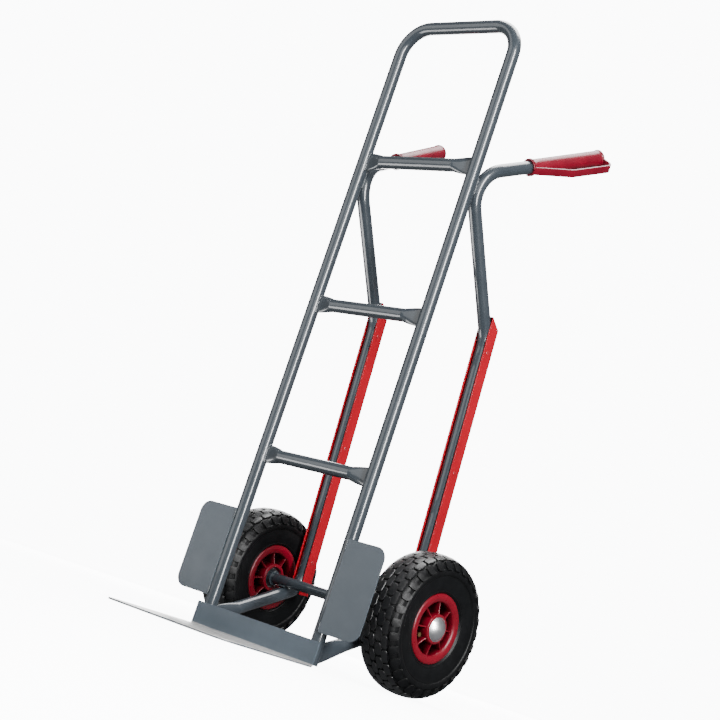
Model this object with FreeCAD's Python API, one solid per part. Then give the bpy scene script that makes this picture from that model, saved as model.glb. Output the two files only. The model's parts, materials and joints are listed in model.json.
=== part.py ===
"""Hand truck with two pneumatic wheels, stair skids and knuckle-guard grips.

Frame of the part: millimetres, +Z up, X across the truck, -Y towards the toe plate.
The floor is Z = 0 and the truck stands upright on it. While the pieces are made, Y = 0 is the
plane of the rails; at the end everything is moved so that the origin is in the middle of the
floor area that the truck covers.
"""
import FreeCAD, Part
import math
import os
from FreeCAD import Vector

# ---- tubes of the frame ----
tube_od = 25.0
tube_wall = 1.5
rail_spacing = 280.0
rail_top_height = 1228.0
rail_bend_radius = 58.0
rail_foot_height = 4.0
crossbar_heights = {"bottom": 341.0, "middle": 644.0, "top": 942.0}
crush_thickness = 6.0
crossbar_crush_length = 40.0
crush_neck_share = 0.35
crush_neck_flatness = 0.82

# ---- toe plate ----
plate_thickness = 3.0
plate_side_margin = 5.5
plate_depth = 228.0
plate_corner_radius = 39.0
upstand_height = 45.0
plate_bend_radius = 3.0

# ---- wheel guards ----
guard_thickness = 2.0
guard_inner_offset = 4.5
guard_width = 92.0
guard_bottom_height = 60.0
guard_height = 168.0
guard_corner_radius = 22.0

# ---- wheels ----
wheel_radius = 130.0
wheel_gap = 12.5
axle_y = 169.6
axle_diameter = 20.0
tyre_half_width = 42.0
tyre_wall = 5.0
tyre_crown_drop = 11.0
tyre_shoulder_half_width = 35.0
tyre_bead_length = 3.0
tyre_bead_clearance = 1.5
tyre_shoulder_inset_share = 0.6
inner_tube_wall = 2.0
rim_half_width = 35.0
rim_flange_height = 12.0
rim_flange_round = 3.0
rim_seat_radius = 51.5
rim_wall = 4.0
rim_web = 5.0
rib_count = 8
rib_thickness = 3.0
rib_recess = 5.0
rib_phase = {"left": 5.0, "right": 15.0}
hub_wall = 6.0
hub_shoulder = 4.0
hub_half_length = 37.5
bearing_od = 42.0
bearing_width = 12.0
bearing_recess = 6.0
race_gap = 4.2
ball_diameter = 6.35
ball_count = 9
ball_clearance = 0.05
seal_thickness = 0.8
seal_inset = 0.3
seal_gap = 0.4
cage_thickness = 2.4
cage_side_wall = 0.4
spacer_wall = 3.0
rim_screw_diameter = 5.0
rim_screw_head = 9.0
rim_screw_head_height = 3.5
rim_screw_bite = 8.0
screw_boss_wall = 3.0
collar_wall = 4.0
collar_length = 8.0
washer_rim = 5.0
washer_thickness = 2.5
pin_diameter = 4.0
pin_length = 30.0
pin_eye = 3.0
pin_eye_wire = 1.0
axle_end_margin = 5.0
axle_chamfer = 1.0
cap_sheet = 0.8
cap_lip = 1.0
cap_skirt = 4.5
cap_dome_height = 10.7
valve_stem_diameter = 6.0
valve_cap_diameter = 8.0
valve_cap_length = 8.0
valve_bend_radius = 5.0
valve_axial = 13.0
valve_reach = 29.0
valve_drop = 12.0
valve_tube_bite = 1.5
valve_bore_diameter = 2.0
valve_cap_end = 2.0

# ---- handle and support tubes ----
handle_corner_height = 924.0
handle_length = 313.0
handle_rise = 30.5
handle_splay = 13.3
handle_bend_radius = 62.0
support_lean = 35.8
skid_lean = 3.7
skid_tube_y = 214.0
support_bend_radius = 70.0
foot_bend_radius = 45.0
foot_height = 25.0
foot_crush_length = 62.0
foot_joint_length = 5.0
foot_cope = 1.0

# ---- stair skids ----
skid_wall = 2.5
skid_depth = 27.0
skid_tip_rise = 42.0
skid_back_rise = 15.0
skid_below_axle = 14.5
skid_corner_radius = 2.0
rivet_diameter = 4.0
rivet_head = 8.0
rivet_head_height = 1.4
rivet_count = 3
rivet_bite = 1.0

# ---- grips ----
grip_start = 136.0
grip_wall = 2.2
grip_taper = 1.6
grip_end_wall = 3.0
collar_flange_step = 2.1
collar_flange_slope = 2.0
collar_flange_length = 4.0
end_rim_step = 1.2
end_rim_slope = 3.0
end_rim_length = 4.0
guard_droop = 31.0
guard_band_width = 15.0
guard_band_thickness = 4.0
guard_band_reach = 43.0
guard_band_start = 12.0
guard_band_rise = 66.0
guard_band_corner = 14.0
guard_band_root_radius = 12.0
guard_band_knuckle_radius = 30.0
guard_band_root = 2.0
guard_band_bite = 1.0

# ---- worked out from the above ----
tube_r = tube_od / 2.0
axle_r = axle_diameter / 2.0
rail_x = rail_spacing / 2.0
wheel_x = rail_x + tube_r + skid_wall + wheel_gap + tyre_half_width
plate_width = rail_spacing + tube_od + 2.0 * plate_side_margin
rim_flange_radius = rim_seat_radius + rim_flange_height
bearing_r = bearing_od / 2.0
bearing_pitch_r = (bearing_r + axle_r) / 2.0
inner_race_r = bearing_pitch_r - race_gap / 2.0
outer_race_r = bearing_pitch_r + race_gap / 2.0
hub_radius = bearing_r + hub_wall
rim_screw_circle = (hub_radius + rim_seat_radius - rim_wall) / 2.0
valve_r = rim_seat_radius - valve_drop
bore_r = tube_r - tube_wall
crush_height = crush_thickness + math.pi * (tube_od - crush_thickness) / 2.0
axle_z = wheel_radius
plate_front_y = -tube_r - plate_thickness - plate_depth
wheel_back_y = axle_y + wheel_radius
origin_shift = Vector(0, -(plate_front_y + wheel_back_y) / 2.0, 0)
X_AXIS = Vector(1, 0, 0)
Y_AXIS = Vector(0, 1, 0)
Z_AXIS = Vector(0, 0, 1)

# ---- how far a cutting tool runs past what it cuts, and how near two lengths count as equal ----
overrun = 1.0
same_length = 1e-3


def solid_of(shape):
    """The single solid in a boolean's result, or the shape itself when it holds several."""
    shape = shape.removeSplitter()
    return shape.Solids[0] if len(shape.Solids) == 1 else shape


def polygon_face(points):
    """A flat face bounded by straight edges through the points."""
    return Part.Face(Part.makePolygon(list(points) + [points[0]]))


def mirrored(shape):
    """The same piece on the other side of the truck."""
    return shape.mirror(Vector(0, 0, 0), X_AXIS)


def rounded_path(points, radii):
    """A wire of straight runs joined by tangent arcs, one radius per inner point."""
    edges = []
    start = points[0]
    for before, corner, after, radius in zip(points, points[1:], points[2:], radii):
        back = (before - corner).normalize()
        on = (after - corner).normalize()
        half = back.getAngle(on) / 2.0
        tangent = radius / math.tan(half)
        centre = corner + (back + on).normalize() * (radius / math.sin(half))
        arc_start = corner + back * tangent
        arc_end = corner + on * tangent
        middle = centre + (corner - centre).normalize() * radius
        edges.append(Part.LineSegment(start, arc_start).toShape())
        edges.append(Part.Arc(arc_start, middle, arc_end).toShape())
        start = arc_end
    edges.append(Part.LineSegment(start, points[-1]).toShape())
    return Part.Wire(edges)


def swept_rod(path, radius):
    """A round bar of the given radius along a path of runs and tangent arcs."""
    edge = path.Edges[0]
    start = edge.valueAt(edge.FirstParameter)
    direction = edge.tangentAt(edge.FirstParameter)
    circle = Part.Wire(Part.Circle(start, direction, radius).toShape())
    return Part.Wire(path.Edges).makePipeShell([circle], True, False)


def swept_tube(path, outer, inner):
    """A hollow round tube along a path, open at both ends."""
    return solid_of(swept_rod(path, outer).cut(swept_rod(path, inner)))


def crushed_run(start, end, tall_axis, crush, wall):
    """A tube from start to end whose end is pressed flat over the length crush."""
    along = (end - start).normalize()
    side = along.cross(tall_axis).normalize()
    turn = FreeCAD.Rotation(tall_axis, side, along, "ZXY")
    straight = (end - start).Length - crush
    stations = ((0.0, 0.0), (1.0 - crush_neck_share, crush_neck_flatness), (1.0, 1.0))

    def skin(inset):
        wires = []
        for share, flat in stations:
            tall = tube_r + (crush_height / 2.0 - tube_r) * flat - inset
            thin = tube_r + (crush_thickness / 2.0 - tube_r) * flat - inset
            section = Part.Wire(Part.Ellipse(Vector(0, 0, 0), tall, thin).toShape())
            section.Placement = FreeCAD.Placement(start + along * (straight + share * crush), turn)
            wires.append(section)
        pressed = Part.makeLoft(wires, True, False)
        return Part.makeCylinder(tube_r - inset, straight, start, along).fuse(pressed)

    return solid_of(skin(0.0).cut(skin(wall)))


def ring(x0, x1, inner, outer):
    """A round ring about the wheel's axis between two stations along X."""
    body = Part.makeCylinder(outer, x1 - x0, Vector(x0, 0, 0), X_AXIS)
    if inner <= 0:
        return body
    return body.cut(Part.makeCylinder(inner, x1 - x0, Vector(x0, 0, 0), X_AXIS))


def turned(points):
    """A piece turned about the X axis from (x, r) points joined by straight lines."""
    face = polygon_face([Vector(x, 0, r) for x, r in points])
    return face.revolve(Vector(0, 0, 0), X_AXIS, 360)


# ---------------------------------------------------------------- frame tubes
def rail_path():
    """From the left foot over the top bar to the right foot."""
    return rounded_path(
        [Vector(rail_x, 0, rail_foot_height), Vector(rail_x, 0, rail_top_height),
         Vector(-rail_x, 0, rail_top_height), Vector(-rail_x, 0, rail_foot_height)],
        [rail_bend_radius, rail_bend_radius])


def rail_core(side):
    """The solid envelope of one straight rail, used to cope what is welded to it."""
    return Part.makeCylinder(tube_r, rail_top_height - rail_bend_radius - rail_foot_height,
                             Vector(side * rail_x, 0, rail_foot_height), Z_AXIS)


def make_rail_loop():
    """Both rails and the top bar, bent from one tube."""
    return swept_tube(rail_path(), tube_r, bore_r)


def make_crossbar(height):
    """A tube with both ends pressed flat and coped to the rails."""
    reach = rail_x - tube_r + crush_thickness / 2.0
    centre = Vector(0, 0, height)
    half = crushed_run(centre, Vector(reach, 0, height), Z_AXIS, crossbar_crush_length, tube_wall)
    bar = half.fuse(mirrored(half))
    for side in (1, -1):
        bar = bar.cut(rail_core(side))
    return solid_of(bar)


def handle_direction():
    """Unit vector from the handle's bend to the grip on the left side."""
    rise = math.radians(handle_rise)
    splay = math.radians(handle_splay)
    return Vector(math.sin(splay) * math.cos(rise), math.cos(splay) * math.cos(rise), math.sin(rise))


def support_points():
    """The corners of the left support tube, from the handle's end to the foot."""
    handle = handle_direction()
    lean = math.radians(support_lean)
    down = Vector(0, math.sin(lean), -math.cos(lean))
    # the upper bend rests against the back of the rail
    half = handle.getAngle(down) / 2.0
    normal = handle.cross(down).normalize()
    bisector = (handle + down).normalize()
    centre_offset = bisector.y * handle_bend_radius / math.sin(half)
    reach = handle_bend_radius * math.sqrt(1.0 - normal.y ** 2)
    corner = Vector(rail_x, tube_od - centre_offset + reach, handle_corner_height)
    # the lower run passes just under the axle and touches it
    foot = Vector(rail_x, tube_r - foot_cope, foot_height)
    to_axle = Vector(0, axle_y - foot.y, axle_z - foot.z)
    slope = math.atan2(to_axle.z, to_axle.y) - math.asin((tube_r + axle_r) / to_axle.Length)
    # the skid run leans back a little as it goes down
    skid = math.tan(math.radians(skid_lean))
    upper = math.tan(lean)
    top_z = (corner.y + corner.z * upper - skid_tube_y - axle_z * skid) / (upper - skid)
    top = Vector(rail_x, skid_tube_y - (top_z - axle_z) * skid, top_z)
    rise = math.tan(slope)
    low_y = (skid_tube_y + (axle_z - foot.z) * skid + foot.y * rise * skid) / (1.0 + rise * skid)
    low = Vector(rail_x, low_y, foot.z + (low_y - foot.y) * rise)
    return [corner + handle * handle_length, corner, top, low, foot]


def make_support_tube():
    """Handle, support and foot of one side in one bent tube, crushed at the foot."""
    grip_end, corner, top, low, foot = support_points()
    run = (foot - low).normalize()
    joint = foot - run * (foot_crush_length + foot_joint_length)
    path = rounded_path([grip_end, corner, top, low, joint],
                        [handle_bend_radius, support_bend_radius, foot_bend_radius])
    bent = swept_tube(path, tube_r, bore_r)
    tall_axis = run.cross(X_AXIS).normalize()
    pressed = crushed_run(joint, foot, tall_axis, foot_crush_length, tube_wall)
    return solid_of(bent.fuse(pressed).cut(rail_core(1)))


# ---------------------------------------------------------------- sheet metal
def make_toe_plate():
    """Blade and upstand bent from one sheet; the upstand's back touches the rails."""
    back = -tube_r
    front = back - plate_thickness
    bend = plate_bend_radius + plate_thickness
    blade = Part.makeBox(plate_width, plate_depth - plate_bend_radius, plate_thickness,
                         Vector(-plate_width / 2, front - plate_depth, 0))
    corners = [e for e in blade.Edges
               if e.Length < plate_thickness + overrun and e.CenterOfMass.y < front - plate_depth + overrun]
    blade = blade.makeFillet(plate_corner_radius, corners)
    upstand = Part.makeBox(plate_width, plate_thickness, upstand_height - bend,
                           Vector(-plate_width / 2, front, bend))
    centre = Vector(-plate_width / 2, back - bend, bend)
    quarter = Part.makeCylinder(bend, plate_width, centre, X_AXIS)
    quarter = quarter.cut(Part.makeCylinder(plate_bend_radius, plate_width, centre, X_AXIS))
    quarter = quarter.common(Part.makeBox(plate_width, bend, bend,
                                          Vector(-plate_width / 2, back - bend, 0)))
    return solid_of(blade.fuse([quarter, upstand]))


def make_wheel_guard():
    """A flat plate welded along its inner edge to the front of the rail."""
    inner = rail_x + guard_inner_offset
    back = -math.sqrt(tube_r ** 2 - guard_inner_offset ** 2)
    plate = Part.makeBox(guard_width, guard_thickness, guard_height,
                         Vector(inner, back - guard_thickness, guard_bottom_height))
    outer = [e for e in plate.Edges
             if e.Length < guard_thickness + overrun and e.CenterOfMass.x > inner + guard_width - overrun]
    return solid_of(plate.makeFillet(guard_corner_radius, outer))


# ---------------------------------------------------------------- stair skids
def skid_frame():
    """Top corner of the skid run, its direction down and its normal to the back."""
    top, low = support_points()[2:4]
    down = (low - top).normalize()
    back = Vector(0, -down.z, down.y)
    return top, down, back, (low - top).Length


def skid_span():
    """Where the skid starts and ends along its run."""
    top, down, back, length = skid_frame()
    end = (top.z - (axle_z - skid_below_axle)) / -down.z
    return -skid_back_rise, end


def make_stair_skid():
    """A U-channel that holds the tube between its flanges."""
    top, down, back, length = skid_frame()
    start, end = skid_span()
    rear = tube_r + skid_wall
    front = rear - skid_depth
    width = tube_od + 2 * skid_wall

    def at(along, behind):
        point = top + down * along + back * behind
        return Vector(rail_x - width / 2, point.y, point.z)

    outline = [at(-skid_tip_rise, front), at(start, rear), at(end, rear), at(end, front)]
    body = polygon_face(outline).extrude(Vector(width, 0, 0))
    rear_corners = [e for e in body.Edges if abs(e.Length - width) < same_length]
    body = body.makeFillet(skid_corner_radius, rear_corners)
    above, below, ahead = -skid_tip_rise - tube_od, end + tube_od, front - tube_od
    room = [at(above, ahead), at(above, tube_r), at(below, tube_r), at(below, ahead)]
    slot = polygon_face(room).extrude(Vector(tube_od, 0, 0))
    slot.translate(Vector(skid_wall, 0, 0))
    return solid_of(body.cut(slot).cut(rivet_holes()))


def rivet_points():
    """Centres of the rivets on the tube's axis, where the tube runs straight in the skid."""
    top, down, back, length = skid_frame()
    first = support_bend_radius * math.tan(math.radians(support_lean - skid_lean) / 2) + rivet_head
    last = length - foot_bend_radius - rivet_head
    return [top + down * (first + (last - first) * k / (rivet_count - 1)) for k in range(rivet_count)]


def rivet_holes():
    """Cross holes through both flanges of the skid and the tube inside it."""
    reach = tube_r + skid_wall + overrun
    drills = [Part.makeCylinder(rivet_diameter / 2, 2 * reach, Vector(rail_x - reach, p.y, p.z), X_AXIS)
              for p in rivet_points()]
    return Part.makeCompound(drills)


def make_skid_rivets():
    """Blind rivets through both flanges into the tube's wall."""
    length = skid_wall + tube_wall + rivet_bite
    rivets = []
    for point in rivet_points():
        for side in (1, -1):
            face = Vector(rail_x + side * (tube_r + skid_wall), point.y, point.z)
            out = X_AXIS * side
            shank = Part.makeCylinder(rivet_diameter / 2, length, face - out * length, out)
            head = Part.makeCone(rivet_head / 2, rivet_head / 4, rivet_head_height, face, out)
            rivets.append(solid_of(shank.fuse(head)))
    return Part.makeCompound(rivets)


# ---------------------------------------------------------------- grips
def grip_frame():
    """Start of the grip, its axis, and the directions across and along its guard."""
    end, corner = support_points()[:2]
    axis = (end - corner).normalize()
    outboard = axis.cross(Z_AXIS).normalize()
    up = outboard.cross(axis).normalize()
    droop = math.radians(guard_droop)
    reach = outboard * math.cos(droop) - up * math.sin(droop)
    width = outboard * math.sin(droop) + up * math.cos(droop)
    return corner + axis * grip_start, axis, reach, width


def make_grip():
    """A tapered sleeve closed at its end, with a band round the knuckles."""
    start, axis, reach, width = grip_frame()
    tube_end = handle_length - grip_start
    length = tube_end + grip_end_wall
    slim = tube_r + grip_wall
    full = slim + grip_taper
    collar = slim + collar_flange_step
    rim = full + end_rim_step
    rim_start = length - end_rim_length
    outline = [(0, 0), (0, collar), (collar_flange_length, collar),
               (collar_flange_length + collar_flange_slope, slim), (rim_start - end_rim_slope, full),
               (rim_start, rim), (length, rim), (length, 0)]
    profile = polygon_face([start + axis * a + reach * r for a, r in outline])
    sleeve = profile.revolve(start, axis, 360)
    root = slim - guard_band_bite
    outer = [(guard_band_root, root), (guard_band_start, collar),
             (guard_band_start + guard_band_rise, guard_band_reach), (length, guard_band_reach),
             (length, root)]
    strip = rounded_strip(start, axis, reach, width, outer)
    bore = Part.makeCylinder(tube_r, tube_end, start, axis)
    return solid_of(sleeve.fuse(strip).cut(bore))


def rounded_strip(start, axis, reach, width, outer):
    """A flat band of constant thickness that follows an outline with rounded corners."""
    points = [start + axis * a + reach * r for a, r in outer]
    radii = [guard_band_root_radius, guard_band_knuckle_radius, guard_band_corner]
    outside = rounded_path(points, radii)
    inner = []
    for (a0, r0), (a1, r1) in zip(outer, outer[1:]):
        span = math.hypot(a1 - a0, r1 - r0)
        inner.append(((a1 - a0) / span, (r1 - r0) / span))
    offset = []
    for index, (a, r) in enumerate(outer):
        before = inner[max(index - 1, 0)]
        after = inner[min(index, len(inner) - 1)]
        normal = (before[1] + after[1], -(before[0] + after[0]))
        size = normal[0] * after[1] - normal[1] * after[0]
        offset.append((a + normal[0] * guard_band_thickness / size,
                       r + normal[1] * guard_band_thickness / size))
    inside_points = [start + axis * a + reach * r for a, r in offset]
    inside_radii = [radii[0] + guard_band_thickness, radii[1] - guard_band_thickness,
                    radii[2] - guard_band_thickness]
    inside = rounded_path(inside_points, inside_radii)
    ends = [Part.LineSegment(points[0], inside_points[0]).toShape(),
            Part.LineSegment(points[-1], inside_points[-1]).toShape()]
    loop = Part.Wire(Part.__sortEdges__(outside.Edges + inside.Edges + ends))
    face = Part.Face(loop)
    strip = face.extrude(width * guard_band_width)
    strip.translate(width * (-guard_band_width / 2))
    return strip


# ---------------------------------------------------------------- wheels, built about the X axis
def arc_edge(a, b, c):
    """An arc through three (x, r) points."""
    return Part.Arc(Vector(a[0], 0, a[1]), Vector(b[0], 0, b[1]), Vector(c[0], 0, c[1])).toShape()


def line_edge(a, b):
    """A straight edge between two (x, r) points."""
    return Part.LineSegment(Vector(a[0], 0, a[1]), Vector(b[0], 0, b[1])).toShape()


def tyre_stations(inset):
    """Bead, widest point, shoulder and crown of the tyre's section, inset by a wall."""
    flange = rim_half_width - rim_wall
    bead = (flange - inset, rim_flange_radius - tyre_bead_clearance)
    shoulder = (tyre_shoulder_half_width - inset,
                wheel_radius - tyre_crown_drop - inset * tyre_shoulder_inset_share)
    middle = (rim_flange_radius - tyre_bead_clearance + wheel_radius - tyre_crown_drop) / 2.0
    widest = (tyre_half_width - inset, middle)
    crown = (0.0, wheel_radius - inset)
    return bead, widest, shoulder, crown


def flip(point):
    """The same (x, r) point on the other side of the wheel's middle plane."""
    return (-point[0], point[1])


def make_tyre():
    """A casing with two beads seated between the rim's flanges."""
    bead, widest, shoulder, crown = tyre_stations(0.0)
    bead_in, widest_in, shoulder_in, crown_in = tyre_stations(tyre_wall)
    foot = (bead[0], rim_seat_radius)
    toe = (bead_in[0] - tyre_bead_length, rim_seat_radius)
    edges = [line_edge(toe, foot), line_edge(foot, bead), arc_edge(bead, widest, shoulder),
             arc_edge(shoulder, crown, flip(shoulder)),
             arc_edge(flip(shoulder), flip(widest), flip(bead)),
             line_edge(flip(bead), flip(foot)), line_edge(flip(foot), flip(toe)),
             line_edge(flip(toe), flip(bead_in)),
             arc_edge(flip(bead_in), flip(widest_in), flip(shoulder_in)),
             arc_edge(flip(shoulder_in), crown_in, shoulder_in),
             arc_edge(shoulder_in, widest_in, bead_in), line_edge(bead_in, toe)]
    return Part.Face(Part.Wire(edges)).revolve(Vector(0, 0, 0), X_AXIS, 360)


def tube_section(inset):
    """The inner tube's section: it fills the casing down to the rim."""
    bead, widest, shoulder, crown = tyre_stations(tyre_wall + inset)
    belly = (0.0, rim_seat_radius + overrun + inset)
    low = (bead[0], bead[1] + inset)
    edges = [arc_edge(low, widest, shoulder), arc_edge(shoulder, crown, flip(shoulder)),
             arc_edge(flip(shoulder), flip(widest), flip(low)), arc_edge(flip(low), belly, low)]
    return Part.Face(Part.Wire(edges)).revolve(Vector(0, 0, 0), X_AXIS, 360)


def make_inner_tube():
    """The rubber tube that holds the air, as a closed hollow ring."""
    return solid_of(tube_section(0.0).cut(tube_section(inner_tube_wall)))


def rim_screw_angles(side):
    """Angles of the four screws, in the middle of every second pocket."""
    step = 360.0 / rib_count
    return [rib_phase[side] + step * (2 * k + 1.5) for k in range(rib_count // 2)]


def around(shape, angle):
    """A copy turned about the wheel's axis; 0 points along +Y and 90 points up."""
    copy = shape.copy()
    copy.rotate(Vector(0, 0, 0), X_AXIS, angle)
    return copy


def rim_half(side, outward):
    """One moulded half: flange, bead seat, web, ribs and hub; outward is +1 or -1 along X."""
    bearing_in = hub_half_length - bearing_recess - bearing_width
    flange_in = rim_half_width - rim_wall
    rim_lip = rim_half_width - rim_wall / 2
    parts = [
        turned([(0, rim_seat_radius - rim_wall), (0, rim_seat_radius), (flange_in, rim_seat_radius),
                (flange_in, rim_flange_radius - rim_wall / 2), (rim_lip, rim_flange_radius),
                (rim_half_width, rim_flange_radius - rim_flange_round),
                (rim_half_width, rim_seat_radius),
                (rim_half_width - rim_flange_round, rim_seat_radius - rim_wall)]),
        ring(0, rim_web, hub_radius - overrun, rim_seat_radius - overrun),
        ring(0, hub_half_length, bearing_r - hub_shoulder, hub_radius),
    ]
    rib_out = rim_half_width - rib_recess
    rib = Part.makeBox(rib_out, rim_seat_radius - hub_radius, rib_thickness,
                       Vector(0, hub_radius - overrun, -rib_thickness / 2))
    parts += [around(rib, rib_phase[side] + k * 360.0 / rib_count) for k in range(rib_count)]
    half = parts[0].fuse(parts[1:])
    if outward > 0:
        boss = Part.makeCylinder(rim_screw_diameter / 2 + screw_boss_wall,
                                 rim_screw_bite + screw_boss_wall,
                                 Vector(0, rim_screw_circle, 0), X_AXIS)
        half = half.fuse([around(boss, angle) for angle in rim_screw_angles(side)])
    half = half.cut(ring(bearing_in, hub_half_length + overrun, 0, bearing_r))
    if outward < 0:
        half = half.mirror(Vector(0, 0, 0), X_AXIS)
    drill = Part.makeCylinder(rim_screw_diameter / 2, rim_web + rim_screw_bite,
                              Vector(-rim_web, rim_screw_circle, 0), X_AXIS)
    for angle in rim_screw_angles(side):
        half = half.cut(around(drill, angle))
    if outward > 0:
        half = half.cut(valve_drill(side))
    return solid_of(half)


def valve_angle(side):
    """The valve sits in the middle of a pocket that holds no screw."""
    return rib_phase[side] + 360.0 / rib_count * 4.5


def valve_path():
    """From inside the inner tube down through the bead seat, then out along the axle."""
    return rounded_path([Vector(valve_axial, rim_seat_radius + valve_tube_bite, 0),
                         Vector(valve_axial, valve_r, 0), Vector(valve_reach, valve_r, 0)],
                        [valve_bend_radius])


def valve_drill(side):
    """The hole in the bead seat that the stem comes through."""
    hole = Part.makeCylinder(valve_stem_diameter / 2, rim_wall + 2 * overrun,
                             Vector(valve_axial, rim_seat_radius - rim_wall - overrun, 0), Y_AXIS)
    return around(hole, valve_angle(side))


def make_valve_stem(side):
    """A bent brass stem from the inner tube into a rim pocket."""
    stem = swept_rod(valve_path(), valve_stem_diameter / 2)
    stem = stem.cut(swept_rod(valve_path(), valve_bore_diameter / 2))
    return solid_of(around(stem, valve_angle(side)).cut(tube_section(0.0)))


def make_valve_cap(side):
    """A cap screwed on the stem's end."""
    base = Vector(valve_reach - valve_cap_length + valve_cap_end, valve_r, 0)
    cap = Part.makeCylinder(valve_cap_diameter / 2, valve_cap_length, base, X_AXIS)
    room = Part.makeCylinder(valve_stem_diameter / 2, valve_cap_length - valve_cap_end, base, X_AXIS)
    return around(solid_of(cap.cut(room)), valve_angle(side))


def make_rim_screws(side):
    """Pan-head screws from the inner side through both webs."""
    screws = []
    for angle in rim_screw_angles(side):
        shank = Part.makeCylinder(rim_screw_diameter / 2, rim_web + rim_screw_bite,
                                  Vector(-rim_web, rim_screw_circle, 0), X_AXIS)
        head = Part.makeCone(rim_screw_head / 2 - overrun, rim_screw_head / 2, rim_screw_head_height,
                             Vector(-rim_web - rim_screw_head_height, rim_screw_circle, 0), X_AXIS)
        screws.append(around(solid_of(shank.fuse(head)), angle))
    return Part.makeCompound(screws)


def bearing_stations():
    """The middle of the outer and inner bearing along the axle."""
    middle = hub_half_length - bearing_recess - bearing_width / 2
    return (middle, -middle)


def raceway(middle):
    """The ring that the balls sweep, a little larger than the balls."""
    groove = ball_diameter / 2 + ball_clearance
    circle = Part.Wire(Part.Circle(Vector(middle, 0, bearing_pitch_r), Y_AXIS, groove).toShape())
    return Part.Face(circle).revolve(Vector(0, 0, 0), X_AXIS, 360)


def bearing_rings(inner, outer):
    """One grooved ring for each bearing."""
    half = bearing_width / 2
    return Part.makeCompound([solid_of(ring(m - half, m + half, inner, outer).cut(raceway(m)))
                              for m in bearing_stations()])


def balls(radius):
    """The balls of both bearings at the given radius."""
    return [around(Part.makeSphere(radius, Vector(m, bearing_pitch_r, 0)), k * 360.0 / ball_count)
            for m in bearing_stations() for k in range(ball_count)]


def make_bearing_cages():
    """Thin rings that keep the balls apart."""
    pockets = Part.makeCompound(balls(ball_diameter / 2 + ball_clearance))
    half = ball_diameter / 2 + cage_side_wall
    inner = bearing_pitch_r - cage_thickness / 2
    return Part.makeCompound([
        solid_of(ring(m - half, m + half, inner, inner + cage_thickness).cut(pockets))
        for m in bearing_stations()])


def make_bearing_seals():
    """Rubber lip seals on both faces of each bearing."""
    seals = []
    for m in bearing_stations():
        for face in (1, -1):
            x = m + face * (bearing_width / 2 - seal_inset - seal_thickness / 2)
            seals.append(ring(x - seal_thickness / 2, x + seal_thickness / 2,
                              inner_race_r + seal_gap, outer_race_r))
    return Part.makeCompound(seals)


def make_hub_spacer():
    """A sleeve that keeps the inner races apart."""
    reach = hub_half_length - bearing_recess - bearing_width
    return ring(-reach, reach, axle_r, axle_r + spacer_wall)


def make_hub_cap():
    """A domed cap pressed into the hub over the axle's end."""
    lip = bearing_r + cap_lip
    base = hub_half_length + cap_sheet
    skin = []
    for thickness in (0.0, cap_sheet):
        radius = lip - thickness
        height = cap_dome_height - thickness
        ball = (radius ** 2 + height ** 2) / (2 * height)
        sphere = Part.makeSphere(ball, Vector(base + height - ball, 0, 0))
        skin.append(sphere.common(ring(base, base + height + overrun, 0, lip + overrun)))
    dome = skin[0].cut(skin[1])
    lip_ring = ring(hub_half_length, base, bearing_r - cap_sheet, lip)
    skirt = ring(hub_half_length - cap_skirt, hub_half_length, bearing_r - cap_sheet, bearing_r)
    return solid_of(dome.fuse([lip_ring, skirt]))


# ---------------------------------------------------------------- axle and what holds the wheels
def pin_station():
    """Where the split pin crosses the axle, just outside the outer washer."""
    return wheel_x + hub_half_length - bearing_recess + washer_thickness + pin_diameter / 2


def make_axle():
    """One round bar through both wheels, drilled for the split pins."""
    reach = pin_station() + axle_end_margin
    bar = Part.makeCylinder(axle_r, 2 * reach, Vector(-reach, axle_y, axle_z), X_AXIS)
    bar = bar.makeChamfer(axle_chamfer, [e for e in bar.Edges if isinstance(e.Curve, Part.Circle)])
    for side in (1, -1):
        low = Vector(side * pin_station(), axle_y, axle_z - axle_r - overrun)
        bar = bar.cut(Part.makeCylinder(pin_diameter / 2, axle_diameter + 2 * overrun, low, Z_AXIS))
    return solid_of(bar)


def make_split_pin():
    """A split pin through the axle with its eye above."""
    x = pin_station()
    low = axle_z - pin_length / 2
    legs = Part.makeCylinder(pin_diameter / 2, pin_length, Vector(x, axle_y, low), Z_AXIS)
    eye = Part.makeTorus(pin_eye - pin_eye_wire, pin_eye_wire,
                         Vector(x, axle_y, low + pin_length), X_AXIS)
    return solid_of(legs.fuse(eye))


def on_axle(x0, x1, outer):
    """A ring on the left side of the axle between two stations from the wheel's middle."""
    body = ring(x0, x1, axle_r, outer)
    body.translate(Vector(wheel_x, axle_y, axle_z))
    return body


def make_stop_collar():
    """A ring welded to the axle that keeps the wheel off the frame."""
    inner_face = -(hub_half_length - bearing_recess)
    return on_axle(inner_face - collar_length, inner_face, axle_r + collar_wall)


def make_axle_washer():
    """A washer between the outer bearing and the split pin."""
    outer_face = hub_half_length - bearing_recess
    return on_axle(outer_face, outer_face + washer_thickness, axle_r + washer_rim)


# ---------------------------------------------------------------- assembly
def wheel_pieces(side):
    """Every piece of one wheel, about the wheel's own middle."""
    return {
        "tyre": make_tyre(),
        "inner_tube": make_inner_tube(),
        "valve_stem": make_valve_stem(side),
        "valve_cap": make_valve_cap(side),
        "rim_outer_half": rim_half(side, 1),
        "rim_inner_half": rim_half(side, -1),
        "rim_screws": make_rim_screws(side),
        "bearing_outer_races": bearing_rings(outer_race_r, bearing_r),
        "bearing_inner_races": bearing_rings(axle_r, inner_race_r),
        "bearing_balls": Part.makeCompound(balls(ball_diameter / 2)),
        "bearing_cages": make_bearing_cages(),
        "bearing_seals": make_bearing_seals(),
        "hub_spacer": make_hub_spacer(),
        "hub_cap": make_hub_cap(),
    }


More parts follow.
